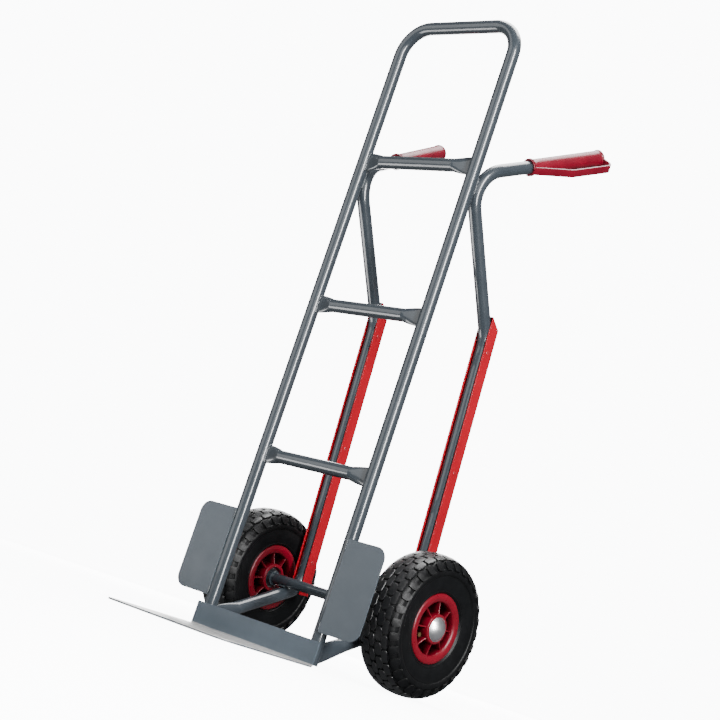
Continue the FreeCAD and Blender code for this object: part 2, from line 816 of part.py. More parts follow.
def placed_wheel(side):
    """The wheel's pieces on their end of the axle."""
    placed = {}
    for name, shape in wheel_pieces(side).items():
        if side == "right":
            shape = mirrored(shape)
        offset = wheel_x if side == "left" else -wheel_x
        shape = shape.copy()
        shape.translate(Vector(offset, axle_y, axle_z))
        placed[name + "_" + side] = shape
    return placed


def all_pieces():
    """Every node of the hand truck by name."""
    pieces = {"rail_loop": make_rail_loop(), "toe_plate": make_toe_plate(), "axle": make_axle()}
    for name, height in crossbar_heights.items():
        pieces["crossbar_" + name] = make_crossbar(height)
    left = {
        "support_tube": solid_of(make_support_tube().cut(rivet_holes())),
        "wheel_guard": make_wheel_guard(),
        "stair_skid": make_stair_skid(),
        "skid_rivets": make_skid_rivets(),
        "grip": make_grip(),
        "stop_collar": make_stop_collar(),
        "axle_washer": make_axle_washer(),
        "split_pin": make_split_pin(),
    }
    for name, shape in left.items():
        pieces[name + "_left"] = shape
        pieces[name + "_right"] = mirrored(shape)
    for side in ("left", "right"):
        pieces.update(placed_wheel(side))
    return pieces


os.makedirs("parts", exist_ok=True)
for node, shape in all_pieces().items():
    shape = shape.copy()
    shape.translate(origin_shift)
    if not shape.isValid():
        print("invalid shape:", node)
    print(node, len(shape.Solids), round(shape.Volume, 1))
    shape.exportStep("parts/" + node + ".step")
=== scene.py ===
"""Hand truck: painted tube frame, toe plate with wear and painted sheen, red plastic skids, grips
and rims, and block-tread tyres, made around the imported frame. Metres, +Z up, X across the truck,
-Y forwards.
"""

import json
import math

import bmesh
import bpy
import numpy as np
from mathutils import Matrix, Vector


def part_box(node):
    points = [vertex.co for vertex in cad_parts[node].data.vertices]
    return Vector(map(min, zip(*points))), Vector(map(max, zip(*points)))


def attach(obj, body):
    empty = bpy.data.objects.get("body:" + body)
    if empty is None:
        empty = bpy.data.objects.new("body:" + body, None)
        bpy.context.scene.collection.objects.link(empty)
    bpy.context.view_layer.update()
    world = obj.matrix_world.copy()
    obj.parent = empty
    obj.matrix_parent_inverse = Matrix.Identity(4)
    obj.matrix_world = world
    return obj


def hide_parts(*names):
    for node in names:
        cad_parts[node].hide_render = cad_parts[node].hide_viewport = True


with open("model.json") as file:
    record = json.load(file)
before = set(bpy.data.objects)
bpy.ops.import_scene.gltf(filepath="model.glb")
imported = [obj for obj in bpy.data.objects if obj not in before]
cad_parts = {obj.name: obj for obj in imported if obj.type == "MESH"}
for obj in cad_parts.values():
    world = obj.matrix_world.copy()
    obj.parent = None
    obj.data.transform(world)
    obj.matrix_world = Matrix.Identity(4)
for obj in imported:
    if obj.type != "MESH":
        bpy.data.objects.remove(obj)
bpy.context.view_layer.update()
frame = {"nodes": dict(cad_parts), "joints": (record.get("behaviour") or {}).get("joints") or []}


# ---------------------------------------------------------------- studio
# A pale floor and an equally pale shell round it, which only the camera sees, and soft lamps in
# dim surroundings: a tall window on the right draws the bright line down every gloss tube.
def place_camera():
    """A long lens just above the floor, looking up a little and rolled."""
    data = bpy.data.cameras.new("camera")
    data.lens = 75.43
    camera = bpy.data.objects.new("camera", data)
    yaw = Matrix.Rotation(math.radians(43.49), 4, "Z")
    pitch = Matrix.Rotation(math.radians(90 + 9.94), 4, "X")
    roll = Matrix.Rotation(math.radians(18.68), 4, "Z")
    camera.matrix_world = Matrix.Translation((1.89295, -2.00150, 0.0716)) @ yaw @ pitch @ roll
    bpy.context.scene.collection.objects.link(camera)
    bpy.context.scene.camera = camera


def soft_light(name, place, target, width, height, radiance):
    """A rectangular lamp at place that faces target; its power follows from its radiance."""
    data = bpy.data.lights.new(name, "AREA")
    data.shape = "RECTANGLE"
    data.size = width
    data.size_y = height
    data.energy = radiance * math.pi * width * height
    lamp = bpy.data.objects.new(name, data)
    lamp.location = place
    lamp.rotation_euler = (Vector(target) - Vector(place)).to_track_quat("-Z", "Y").to_euler()
    lamp.visible_camera = False
    bpy.context.scene.collection.objects.link(lamp)


def light_studio():
    """The lamps and the dim even surroundings."""
    middle = (0, 0, 0.6)
    soft_light("window_right", (2.6, -1.05, 1.3), middle, 0.5, 2.6, 56)
    soft_light("box_left", (-1.6, -3.4, 1.6), middle, 3.6, 3.0, 1.9)
    soft_light("fill_front", (3.2, -3.3, 2.2), middle, 3.5, 3.0, 2.0)
    soft_light("box_back", (-1.9, 2.1, 1.2), (0, 0, 0.3), 2.0, 1.4, 11)
    soft_light("box_top", (-0.2, 0.6, 3.0), (0, 0, 0.3), 1.8, 1.4, 14)
    soft_light("panel_low", (-0.95, -0.8, 0.02), (-0.95, -0.8, 1.0), 1.1, 0.8, 9)
    world = bpy.data.worlds.new("surround")
    world.use_nodes = True
    background = world.node_tree.nodes["Background"]
    background.inputs["Color"].default_value = (0.93, 0.96, 1.0, 1)
    background.inputs["Strength"].default_value = 0.22
    bpy.context.scene.world = world


def new_material(name):
    """A material with its node tree and its shader."""
    material = bpy.data.materials.new(name)
    material.use_nodes = True
    tree = material.node_tree
    return material, tree, tree.nodes["Principled BSDF"]


def ranged(tree, value, from_span, to_span=(0.0, 1.0), curve="LINEAR"):
    """The value carried from one span of numbers to another, and held at its ends."""
    node = tree.nodes.new("ShaderNodeMapRange")
    node.interpolation_type = curve
    for socket, number in zip(("From Min", "From Max", "To Min", "To Max"), from_span + to_span):
        node.inputs[socket].default_value = number
    tree.links.new(value, node.inputs["Value"])
    return node.outputs["Result"]


def glowing(name, near_glow, far_glow, near=0.8, far=5.0):
    """A pale surface whose own glow rises from near_glow to far_glow between two distances, in
    metres from the truck, over a matt white coat that still takes soft shadows."""
    material, tree, shader = new_material(name)
    shader.inputs["Base Color"].default_value = (0.9, 0.91, 0.92, 1)
    shader.inputs["Roughness"].default_value = 1.0
    shader.inputs["Specular IOR Level"].default_value = 0.0
    shader.inputs["Emission Color"].default_value = (0.985, 0.992, 1.0, 1)
    place = tree.nodes.new("ShaderNodeTexCoord")
    length = tree.nodes.new("ShaderNodeVectorMath")
    length.operation = "LENGTH"
    tree.links.new(place.outputs["Object"], length.inputs[0])
    glow = ranged(tree, length.outputs["Value"], (near, far), (near_glow, far_glow), "SMOOTHSTEP")
    tree.links.new(glow, shader.inputs["Emission Strength"])
    return material


def stage_piece(name, points, faces, material):
    """Part of the stage: seen by the camera, but neither mirrored in the truck nor lighting it."""
    mesh = bpy.data.meshes.new(name)
    mesh.from_pydata(points.tolist(), [], faces)
    mesh.materials.append(material)
    piece = bpy.data.objects.new(name, mesh)
    piece.visible_diffuse = False
    piece.visible_glossy = False
    piece.visible_shadow = False
    bpy.context.scene.collection.objects.link(piece)


def build_stage():
    """A round floor, and a half shell that rises from its rim."""
    reach, below, levels = 30.0, -0.0006, 14
    turn = np.linspace(0, 2 * np.pi, 72, endpoint=False)
    rim = np.stack([reach * np.cos(turn), reach * np.sin(turn), np.full_like(turn, below)], axis=1)
    stage_piece("floor", rim, [list(range(len(turn)))], glowing("pale_floor", 9.0, 11.0))
    climb = np.linspace(-0.02, np.pi / 2, levels)[:, None]
    shell = np.stack([reach * np.cos(climb) * np.cos(turn), reach * np.cos(climb) * np.sin(turn),
                      reach * np.sin(climb) * np.ones_like(turn)], axis=-1).reshape(-1, 3)
    row = np.arange(levels - 1)[:, None] * len(turn)
    column = np.arange(len(turn))[None]
    after = (column + 1) % len(turn)
    quads = np.stack([row + column, row + after, row + len(turn) + after, row + len(turn) + column],
                     axis=-1).reshape(-1, 4)
    stage_piece("backdrop", shell, quads.tolist(), glowing("pale_shell", 11.0, 11.0))


place_camera()
light_studio()
build_stage()


# ---------------------------------------------------------------- frame tubes and axle
# Steel tubes, bent cold, crushed flat where they meet the rails, welded and powder coated as one
# frame in gloss slate grey. The axle is a solid bar in the same coat.
def finish(name, dark, light, roughness, grain=14.0, bump=0.04, bump_grain=700.0, **sockets):
    """A moulded or coated surface: colour drifts from dark to light over large soft patches,
    roughness between its two values over smaller ones, and a fine bump makes it less than flat."""
    material, tree, shader = new_material(name)
    place = tree.nodes.new("ShaderNodeTexCoord")

    def noise(scale, detail):
        """A noise over the piece's own coordinates."""
        node = tree.nodes.new("ShaderNodeTexNoise")
        node.inputs["Scale"].default_value = scale
        node.inputs["Detail"].default_value = detail
        tree.links.new(place.outputs["Object"], node.inputs["Vector"])
        return node.outputs["Fac"]

    ramp = tree.nodes.new("ShaderNodeValToRGB")
    for stop, position, colour in zip(ramp.color_ramp.elements, (0.35, 0.65), (dark, light)):
        stop.position = position
        stop.color = (*colour, 1)
    tree.links.new(noise(grain, 4.0), ramp.inputs["Fac"])
    tree.links.new(ramp.outputs["Color"], shader.inputs["Base Color"])
    smear = ranged(tree, noise(grain * 3.0, 6.0), (0.3, 0.7), roughness)
    tree.links.new(smear, shader.inputs["Roughness"])
    relief = tree.nodes.new("ShaderNodeBump")
    relief.inputs["Strength"].default_value = bump
    relief.inputs["Distance"].default_value = 0.0004
    tree.links.new(noise(bump_grain, 2.0), relief.inputs["Height"])
    tree.links.new(relief.outputs["Normal"], shader.inputs["Normal"])
    for socket, value in sockets.items():
        shader.inputs[socket.replace("_", " ")].default_value = value
    return material


nodes = frame["nodes"]


def dress(node, material):
    """Gives a CAD node its material."""
    mesh = nodes[node].data
    mesh.materials.clear()
    mesh.materials.append(material)


slate_paint = finish("slate_paint", (0.025, 0.032, 0.039), (0.031, 0.039, 0.047), (0.28, 0.38),
                     bump=0.05, Specular_IOR_Level=0.35, Coat_Weight=0.8, Coat_Roughness=0.04)
painted = ["rail_loop", "axle", "crossbar_bottom", "crossbar_middle", "crossbar_top",
           "support_tube_left", "support_tube_right", "stop_collar_left", "stop_collar_right"]
for node in painted:
    dress(node, slate_paint)


# ---------------------------------------------------------------- wheel guards
# A flat steel plate in front of each wheel, sheared with round outer corners and a rolled edge,
# and welded to its rail at the top and bottom only, so a slit is left between them.
sides = {"left": 1.0, "right": -1.0}


def grid_faces(rows, columns, wrap_rows=False, wrap_columns=False):
    """Quads of a grid of points stored row by row; wrap joins its last row or column to its
    first."""
    row = np.arange(rows if wrap_rows else rows - 1)[:, None]
    column = np.arange(columns if wrap_columns else columns - 1)[None, :]
    next_row = (row + 1) % rows
    next_column = (column + 1) % columns
    quads = np.stack([row * columns + column, row * columns + next_column,
                      next_row * columns + next_column, next_row * columns + column], axis=-1)
    return quads.reshape(-1, 4)


def new_piece(name, shells, material, body, sharp=35.0):
    """One object from several shells, each an array of points with a list of its faces.
    Doubled points are merged, and every closed shell is turned to face outwards."""
    work = bmesh.new()
    for points, faces in shells:
        corners = [work.verts.new(p) for p in np.asarray(points, float).reshape(-1, 3).tolist()]
        for face in faces:
            ring = [corners[i] for i in face]
            if len(set(ring)) == len(ring) and work.faces.get(ring) is None:
                work.faces.new(ring)
    bmesh.ops.remove_doubles(work, verts=work.verts, dist=1e-6)
    bmesh.ops.recalc_face_normals(work, faces=work.faces)
    mesh = bpy.data.meshes.new(name)
    work.to_mesh(mesh)
    work.free()
    mesh.shade_smooth()
    mesh.set_sharp_from_angle(angle=math.radians(sharp))
    mesh.materials.append(material)
    piece = bpy.data.objects.new(name, mesh)
    bpy.context.scene.collection.objects.link(piece)
    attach(piece, body)
    return piece


def soften(piece, width, segments=2, angle=40.0):
    """Rounds the piece's sharp edges."""
    bevel = piece.modifiers.new("edge_round", "BEVEL")
    bevel.width = width
    bevel.segments = segments
    bevel.limit_method = "ANGLE"
    bevel.angle_limit = math.radians(angle)
    bevel.harden_normals = True


def rounded_outline(width, height, radius, steps=10):
    """A rectangle from 0 to width whose two corners at width are quarter circles; (n, 2)."""
    turn = np.linspace(0, np.pi / 2, steps)
    low = np.stack([width - radius + radius * np.sin(turn), radius - radius * np.cos(turn)], axis=1)
    high = np.stack([low[::-1, 0], height - low[::-1, 1]], axis=1)
    return np.concatenate([[[0, 0]], low, high, [[0, height]]])


def make_guards():
    """The CAD plate's outline again, with its edges rounded."""
    for side, sign in sides.items():
        node = "wheel_guard_" + side
        low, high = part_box(node)
        inner = min(abs(low.x), abs(high.x))
        outline = rounded_outline(abs(high.x - low.x), high.z - low.z, 0.022)
        front, back = [np.stack([sign * (inner + outline[:, 0]), np.full(len(outline), y),
                                 low.z + outline[:, 1]], axis=1) for y in (low.y, high.y)]
        count = len(outline)
        faces = [list(range(count)), list(range(count, 2 * count))]
        faces += grid_faces(2, count, wrap_columns=True).tolist()
        guard = new_piece("guard_plate_" + side, [(np.concatenate([front, back]), faces)],
                          slate_flat, "frame", sharp=30)
        soften(guard, 0.0005)
        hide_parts(node)


# The guards' coat is the frame's slate paint made lighter and less glossy: the lighter colour is
# painted light.
slate_flat = finish("slate_flat", (0.040, 0.053, 0.066), (0.046, 0.060, 0.074), (0.42, 0.54),
                    grain=9.0, bump=0.05, Coat_Weight=0.2, Coat_Roughness=0.25)
make_guards()


# ---------------------------------------------------------------- toe plate
# One 3 mm steel sheet folded into a blade and an upstand, and powder coated in the frame's grey
# made lighter, which is painted light. Most of the blade's top is coloured as light steel: partly
# wear where loads rubbed the coat off and left streaks from side to side, partly painted sheen.
def math_node(tree, operation, first, second=0.0):
    """The result of an operation on a value and another value or a number."""
    node = tree.nodes.new("ShaderNodeMath")
    node.operation = operation
    tree.links.new(first, node.inputs[0])
    if isinstance(second, float):
        node.inputs[1].default_value = second
    else:
        tree.links.new(second, node.inputs[1])
    return node.outputs["Value"]


def sheen_and_wear_paint(name, paint, steel, metalness=0.45):
    """Grey coat turned to light steel, partly as wear and partly as painted sheen: two stretched
    noises pick where, and the same mask drives colour and metalness. Two ramps over height keep
    the mask to the blade's top, so that the upstand and the sheet's cut edge stay painted."""
    material = finish(name, paint, tuple(1.15 * c for c in paint), (0.30, 0.42), bump=0.05,
                      Specular_IOR_Level=0.3)
    tree = material.node_tree
    shader = tree.nodes["Principled BSDF"]
    place = tree.nodes["Texture Coordinate"]
    noises = []
    for scale, stretch in ((110.0, (0.09, 1.0, 1.0)), (14.0, (1.0, 0.7, 1.0))):
        mapping = tree.nodes.new("ShaderNodeMapping")
        mapping.inputs["Scale"].default_value = stretch
        noise = tree.nodes.new("ShaderNodeTexNoise")
        noise.inputs["Scale"].default_value = scale
        noise.inputs["Detail"].default_value = 8.0
        tree.links.new(place.outputs["Object"], mapping.inputs["Vector"])
        tree.links.new(mapping.outputs["Vector"], noise.inputs["Vector"])
        noises.append(noise.outputs["Fac"])
    height = tree.nodes.new("ShaderNodeSeparateXYZ")
    tree.links.new(place.outputs["Object"], height.inputs["Vector"])
    sheen_and_wear_mask = ranged(tree, math_node(tree, "ADD", *noises), (0.72, 0.97))
    for painted, bare in ((0.0060, 0.0034), (0.0019, 0.0026)):
        level = ranged(tree, height.outputs["Z"], (painted, bare))
        sheen_and_wear_mask = math_node(tree, "MULTIPLY", sheen_and_wear_mask, level)
    mix = tree.nodes.new("ShaderNodeMix")
    mix.data_type = "RGBA"
    mix.inputs["B"].default_value = (*steel, 1)
    tree.links.new(sheen_and_wear_mask, mix.inputs["Factor"])
    tree.links.new(tree.nodes["Color Ramp"].outputs["Color"], mix.inputs["A"])
    tree.links.new(mix.outputs["Result"], shader.inputs["Base Color"])
    tree.links.new(math_node(tree, "MULTIPLY", sheen_and_wear_mask, metalness), shader.inputs["Metallic"])
    return material


def make_toe_plate():
    """The middle skin of the sheet as one grid: along the section from the upstand's top round the
    fold to the blade's tip, and across the width, which narrows on a quarter circle at the tip."""
    low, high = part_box("toe_plate")
    sheet, bend, corner, columns = 0.003, 0.0045, 0.039, 25
    back = high.y - sheet / 2
    height = low.z + sheet / 2
    turn = np.linspace(0, np.pi / 2, 7)
    fold = np.stack([back - bend + bend * np.cos(turn),
                     height + bend - bend * np.sin(turn)], axis=1)
    rise = np.stack([np.full(5, back), np.linspace(high.z, height + bend, 6)[:-1]], axis=1)
    tip = low.y + corner - corner * np.sin(np.linspace(0, np.pi / 2, 13))
    blade_y = np.concatenate([np.linspace(back - bend, low.y + corner, 12)[1:-1], tip])
    blade = np.stack([blade_y, np.full_like(blade_y, height)], axis=1)
    section = np.concatenate([rise, fold, blade])
    into_corner = np.clip(low.y + corner - section[:, 0], 0, corner)
    half = high.x - corner + np.sqrt(corner ** 2 - into_corner ** 2)
    half[section[:, 0] > low.y + corner] = high.x
    across = np.linspace(-1, 1, columns)
    points = np.stack([half[:, None] * across, np.repeat(section[:, :1], columns, axis=1),
                       np.repeat(section[:, 1:], columns, axis=1)], axis=-1)
    faces = grid_faces(len(section), columns).tolist()
    plate = new_piece("toe_plate_sheet", [(points, faces)], plate_coat, "frame")
    thick = plate.modifiers.new("sheet", "SOLIDIFY")
    thick.thickness = sheet
    thick.offset = 0
    soften(plate, 0.0006, angle=50)
    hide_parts("toe_plate")


# The plate's grey is the frame's slate coat made lighter: painted light.
plate_coat = sheen_and_wear_paint("plate_coat", (0.056, 0.072, 0.088), (0.54, 0.53, 0.52))
make_toe_plate()


# ---------------------------------------------------------------- weld beads
# Small fillet welds under the coat, laid in short steps, so their skin is a row of overlapping
# scales. They run round the crushed ends, down the upstand, and where the tubes touch.
crushed_half = 0.0034


def cad_points(node):
    """All corner points of a CAD node's mesh; (n, 3)."""
    return np.array([v.co for v in nodes[node].data.vertices])


def rod_faces(rows, columns):
    """Faces of a closed ring of points carried along a path, with both ends capped."""
    caps = [list(range(columns)), list(range(columns * (rows - 1), columns * rows))]
    return grid_faces(rows, columns, wrap_columns=True).tolist() + caps


def weld_bead(path, radius, closed=False, step=0.0022, ring=10):
    """A bead along a path of points: a ring of points carried along it, whose radius swells and
    pinches once every step, and shrinks to nothing at both ends of an open bead."""
    path = np.asarray(path, float)
    ends = np.concatenate([path, path[:1]]) if closed else path
    legs = np.linalg.norm(np.diff(ends, axis=0), axis=1)
    reach = np.concatenate([[0], np.cumsum(legs)])
    count = max(8, int(reach[-1] / step * 5))
    along = np.linspace(0, reach[-1], count, endpoint=not closed)
    centre = np.stack([np.interp(along, reach, ends[:, k]) for k in range(3)], axis=1)
    if closed:
        tangent = np.roll(centre, -1, axis=0) - np.roll(centre, 1, axis=0)
    else:
        tangent = np.gradient(centre, axis=0)
    tangent /= np.linalg.norm(tangent, axis=1, keepdims=True)
    guide = np.where(np.abs(tangent[:, :1]) < 0.8, [[1.0, 0, 0]], [[0, 1.0, 0]])
    first = np.cross(tangent, guide)
    first /= np.linalg.norm(first, axis=1, keepdims=True)
    second = np.cross(tangent, first)
    swell = 0.84 + 0.16 * np.abs(np.sin(np.pi * along / step))
    if not closed:
        swell *= np.sqrt(np.clip(np.minimum(along, reach[-1] - along) / (1.5 * radius), 0.02, 1))
    turn = np.linspace(0, 2 * np.pi, ring, endpoint=False)[None, :, None]
    spoke = np.cos(turn) * first[:, None] + np.sin(turn) * second[:, None]
    points = centre[:, None] + (radius * swell)[:, None, None] * spoke
    faces = grid_faces(count, ring, True, True).tolist() if closed else rod_faces(count, ring)
    return points.reshape(-1, 3), faces


def crossbar_welds(rail_x, rail_y, tube):
    """Round both flattened ends of each crossbar, an upright oval laid on the rail's round side."""
    turn = np.linspace(0, 2 * np.pi, 40, endpoint=False)
    beads = []
    for name in ("bottom", "middle", "top"):
        low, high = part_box("crossbar_" + name)
        across = crushed_half * np.cos(turn)
        height = (low.z + high.z) / 2 + (high.z - low.z) / 2 * np.sin(turn)
        inset = rail_x - np.sqrt(tube ** 2 - across ** 2)
        for sign in sides.values():
            beads.append(weld_bead(np.stack([sign * inset, rail_y + across, height], axis=1),
                                   0.0017, closed=True))
    return beads


def foot_welds(rail_x, rail_y, tube):
    """Round the crushed foot of each support tube, on the back of the rail."""
    foot_z, half_height = 0.025, 0.0179
    turn = np.linspace(0, 2 * np.pi, 40, endpoint=False)
    across = crushed_half * np.cos(turn)
    back = rail_y + np.sqrt(tube ** 2 - across ** 2)
    height = foot_z + half_height * np.sin(turn)
    return [weld_bead(np.stack([sign * rail_x + across, back, height], axis=1), 0.0017,
                      closed=True) for sign in sides.values()]


def straight_welds(rail_x, rail_y, tube):
    """Upright beads: rails to upstand, guards to rails, and the handles' bends to the rails. Each
    is listed as its distance from the middle, its y, its radius, its bottom and its top."""
    beads = []
    plate_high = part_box("toe_plate")[1]
    for side, sign in sides.items():
        low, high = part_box("wheel_guard_" + side)
        seam = min(abs(low.x), abs(high.x))
        spans = [(seam + 0.0004, high.y + 0.0006, 0.0013, low.z + 0.002, low.z + 0.022),
                 (seam + 0.0004, high.y + 0.0006, 0.0013, high.z - 0.030, high.z - 0.002),
                 (seam - 0.0004, low.y - 0.0002, 0.0011, low.z + 0.002, low.z + 0.018),
                 (seam - 0.0004, low.y - 0.0002, 0.0011, high.z - 0.022, high.z - 0.002)]
        for offset in (-0.0058, 0.0058):
            spans.append((rail_x + offset, plate_high.y + 0.0012, 0.0018,
                          0.008, plate_high.z - 0.002))
        bent = cad_points("support_tube_" + side)
        touching = bent[(bent[:, 2] > 0.7) & (bent[:, 1] < rail_y + tube + 0.0003)
                        & (np.abs(np.abs(bent[:, 0]) - rail_x) < 0.004)]
        contact = touching[:, 2].mean() if len(touching) else plate_high.z
        for offset in (-0.0062, 0.0062):
            spans.append((rail_x + offset, rail_y + tube + 0.0002, 0.0020,
                          contact - 0.016, contact + 0.016))
        for x, y, radius, start, end in spans:
            height = np.linspace(start, end, 20)
            path = np.stack([np.full(20, sign * x), np.full(20, y), height], axis=1)
            beads.append(weld_bead(path, radius))
    return beads


def axle_welds(rail_x):
    """Two short beads on each side, in the grooves where the axle crosses the support tube."""
    low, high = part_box("axle")
    centre = (low + high) / 2
    from_centre, half_length = 0.0112, 0.009
    beads = []
    for sign in sides.values():
        for turn in (math.radians(-115.0), math.radians(-20.0)):
            x = np.linspace(-half_length, half_length, 16) + sign * rail_x
            y = np.full(16, centre.y + from_centre * math.cos(turn))
            z = np.full(16, centre.z + from_centre * math.sin(turn))
            beads.append(weld_bead(np.stack([x, y, z], axis=1), 0.0022))
    return beads


def make_welds():
    """All the beads as one piece of the frame."""
    low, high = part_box("rail_loop")
    tube = (high.y - low.y) / 2
    rail_x = high.x - tube
    rail_y = (high.y + low.y) / 2
    beads = crossbar_welds(rail_x, rail_y, tube) + foot_welds(rail_x, rail_y, tube)
    beads += straight_welds(rail_x, rail_y, tube) + axle_welds(rail_x)
    new_piece("weld_beads", beads, weld_coat, "frame", sharp=60)


weld_coat = finish("weld_coat", (0.028, 0.034, 0.040), (0.046, 0.055, 0.063), (0.26, 0.42),
                   grain=160.0, bump=0.2, Coat_Weight=0.4, Coat_Roughness=0.12)
make_welds()


# ---------------------------------------------------------------- stair skids
# Bright red extruded plastic channels over the lower bend of each support tube, cut off aslant
# at the top, and held by blind rivets through both flanges, whose heads are lacquered red.
def channel_section(width, wall, front, rear, outer_round):
    """A U in the plane (across, behind): outside round the back with rounded corners, round each
    flange's free edge on a half circle, and back along the inside; a closed loop."""
    half = width / 2
    turn = np.linspace(0, np.pi / 2, 5)
    corner = np.stack([half - outer_round + outer_round * np.cos(turn),
                       rear - outer_round + outer_round * np.sin(turn)], axis=1)
    bead = np.linspace(0, np.pi, 7)[1:-1]
    free = np.stack([half - wall / 2 - wall / 2 * np.cos(bead),
                     front + wall / 2 - wall / 2 * np.sin(bead)], axis=1)
    depth = np.linspace(front + wall / 2, rear - outer_round, 5)
    outside = np.stack([np.full(5, half), depth], axis=1)
    inside = np.stack([np.full(5, half - wall),
                       np.linspace(rear - wall, front + wall / 2, 5)], axis=1)
    floor_across = np.linspace(half - outer_round, 0, 4)[1:]
    back = np.stack([floor_across, np.full(3, rear)], axis=1)
    inner_back = np.stack([np.linspace(0, half - wall, 4)[:-1], np.full(3, rear - wall)], axis=1)
    right = np.concatenate([inner_back, inside, free[::-1], outside, corner[1:], back[:-1]])
    left = right[::-1] * [-1, 1]
    left = left[1:-1] if abs(right[0, 0]) < 1e-9 else left
    return np.concatenate([right, [[0, rear]], left])


def make_skids():
    """The channel's section carried down the run, each point starting where the slanted cut is."""
    tube_radius, wall, outer_round = 0.0125, 0.0025, 0.0024
    lean = math.radians(3.7)
    for side in sides:
        node = "stair_skid_" + side
        cad = cad_points(node)
        down = np.array([0, math.sin(lean), -math.cos(lean)])
        behind = np.array([0, math.cos(lean), math.sin(lean)])
        along, deep = cad @ down, cad @ behind
        rear, front = deep.max(), deep.min()
        rear_top = along[deep > rear - 0.0035].min() - 0.0012
        tip, end = along.min(), along.max()
        centre_x = (cad[:, 0].min() + cad[:, 0].max()) / 2
        section = channel_section(2 * (tube_radius + wall), wall, front, rear, outer_round)
        share = (section[:, 1] - front) / (rear - front)
        starts = tip + (rear_top - tip) * share
        steps = np.concatenate([[0, 0.003, 0.008], np.linspace(0.02, 1, 40)])
        run = starts[None, :] + (end - starts)[None, :] * steps[:, None]
        points = run[..., None] * down + section[None, :, 1:2] * behind
        points[..., 0] = centre_x + section[None, :, 0]
        skid = new_piece("skid_channel_" + side, [(points, rod_faces(*points.shape[:2]))],
                         skid_plastic, "frame", sharp=38)
        soften(skid, 0.0005, angle=55)
        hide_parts(node)


def revolved(profile, centre, axis, around, steps=48, closed=False):
    """A surface of revolution: each (along, radius) point of the profile is turned about the axis,
    starting at the direction around."""
    profile, axis, around = (np.asarray(a, float) for a in (profile, axis, around))
    third = np.cross(axis, around)
    turn = np.linspace(0, 2 * np.pi, steps, endpoint=False)
    spoke = np.cos(turn)[:, None] * around + np.sin(turn)[:, None] * third
    points = np.asarray(centre) + profile[:, None, :1] * axis + profile[:, None, 1:] * spoke[None]
    faces = grid_faces(len(profile), steps, wrap_rows=closed, wrap_columns=True).tolist()
    return points.reshape(-1, 3), faces


def make_rivets():
    """Low domed heads with a pulled stem's dimple in the middle, on both sides of each channel at
    every height where the CAD rivets stand."""
    turn = np.linspace(0, np.pi / 2, 7)
    dome = np.stack([0.0013 * np.sin(turn), 0.0040 * np.cos(turn)], axis=1)[:-2]
    pit = [[0.0013, 0.0012], [0.0007, 0.0011], [0.0006, 0.0]]
    profile = np.concatenate([[[-0.0008, 0.0], [-0.0008, 0.0040]], dome, pit])
    for side in sides:
        node = "skid_rivets_" + side
        cad = cad_points(node)
        skid_low, skid_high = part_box("stair_skid_" + side)
        heads = []
        levels = np.sort(cad[:, 2])
        for group in np.split(levels, np.where(np.diff(levels) > 0.02)[0] + 1):
            near = cad[(cad[:, 2] >= group[0]) & (cad[:, 2] <= group[-1])]
            centre = (near.min(0) + near.max(0)) / 2
            for face, out in ((skid_low.x, -1.0), (skid_high.x, 1.0)):
                heads.append(revolved(profile, (face, centre[1], centre[2]), (out, 0, 0),
                                      (0, 1, 0), 20))
        rivets = new_piece("rivet_heads_" + side, heads, red_lacquer, "frame")
        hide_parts(node)


skid_plastic = finish("skid_plastic", (0.27, 0.0016, 0.0085), (0.32, 0.0022, 0.0110), (0.26, 0.36),
                      grain=22.0, bump=0.05, Specular_IOR_Level=0.35)
red_lacquer = finish("red_lacquer", (0.20, 0.0020, 0.0080), (0.34, 0.0200, 0.0260), (0.18, 0.30),
                     grain=260.0, bump=0.1, Specular_IOR_Level=0.6)
make_skids()
make_rivets()


# ---------------------------------------------------------------- grips
# Moulded crimson plastic sleeves pushed over the handle ends, each with a double collar, a sleeve
# that widens towards its end rim, and a flat band that loops round the knuckles.
def grip_axes(side, sign):
    """The grip's start, its axis, and the directions of the guard's reach and width. The handle
    rises 30.5 degrees and spreads 13.3; the guard droops 31 degrees below level."""
    rise, splay, droop = (math.radians(a) for a in (30.5, 13.3, 31.0))
    axis = np.array([sign * math.sin(splay) * math.cos(rise), math.cos(splay) * math.cos(rise),
                     math.sin(rise)])
    outboard = np.cross(axis, [0, 0, 1.0]) * sign
    outboard /= np.linalg.norm(outboard)
    up = np.cross(outboard, axis) * sign
    reach = outboard * math.cos(droop) - up * math.sin(droop)
    width = outboard * math.sin(droop) + up * math.cos(droop)
    cad = cad_points("grip_" + side)
    along = cad @ axis
    collar = cad[along < along.min() + 0.0005]
    spans = [((collar @ d).min() + (collar @ d).max()) / 2 for d in (reach, width)]
    start = axis * along.min() + reach * spans[0] + width * spans[1]
    return start, axis, reach, width, along.max() - along.min()


def round_path(corners, radii, steps=9):
    """Straight runs between corners joined by tangent arcs, as points in the plane."""
    corners = np.asarray(corners, float)
    points = [corners[:1]]
    for before, corner, after, radius in zip(corners, corners[1:], corners[2:], radii):
        back = (before - corner) / np.linalg.norm(before - corner)
        on = (after - corner) / np.linalg.norm(after - corner)
        half = math.acos(np.clip(back @ on, -1, 1)) / 2
        centre = corner + (back + on) / np.linalg.norm(back + on) * radius / math.sin(half)
        start = corner + back * radius / math.tan(half) - centre
        end = corner + on * radius / math.tan(half) - centre
        share = np.linspace(0, 1, steps)[:, None]
        sweep = start * (1 - share) + end * share
        points.append(centre + sweep / np.linalg.norm(sweep, axis=1, keepdims=True) * radius)
    points.append(corners[-1:])
    return np.concatenate(points)


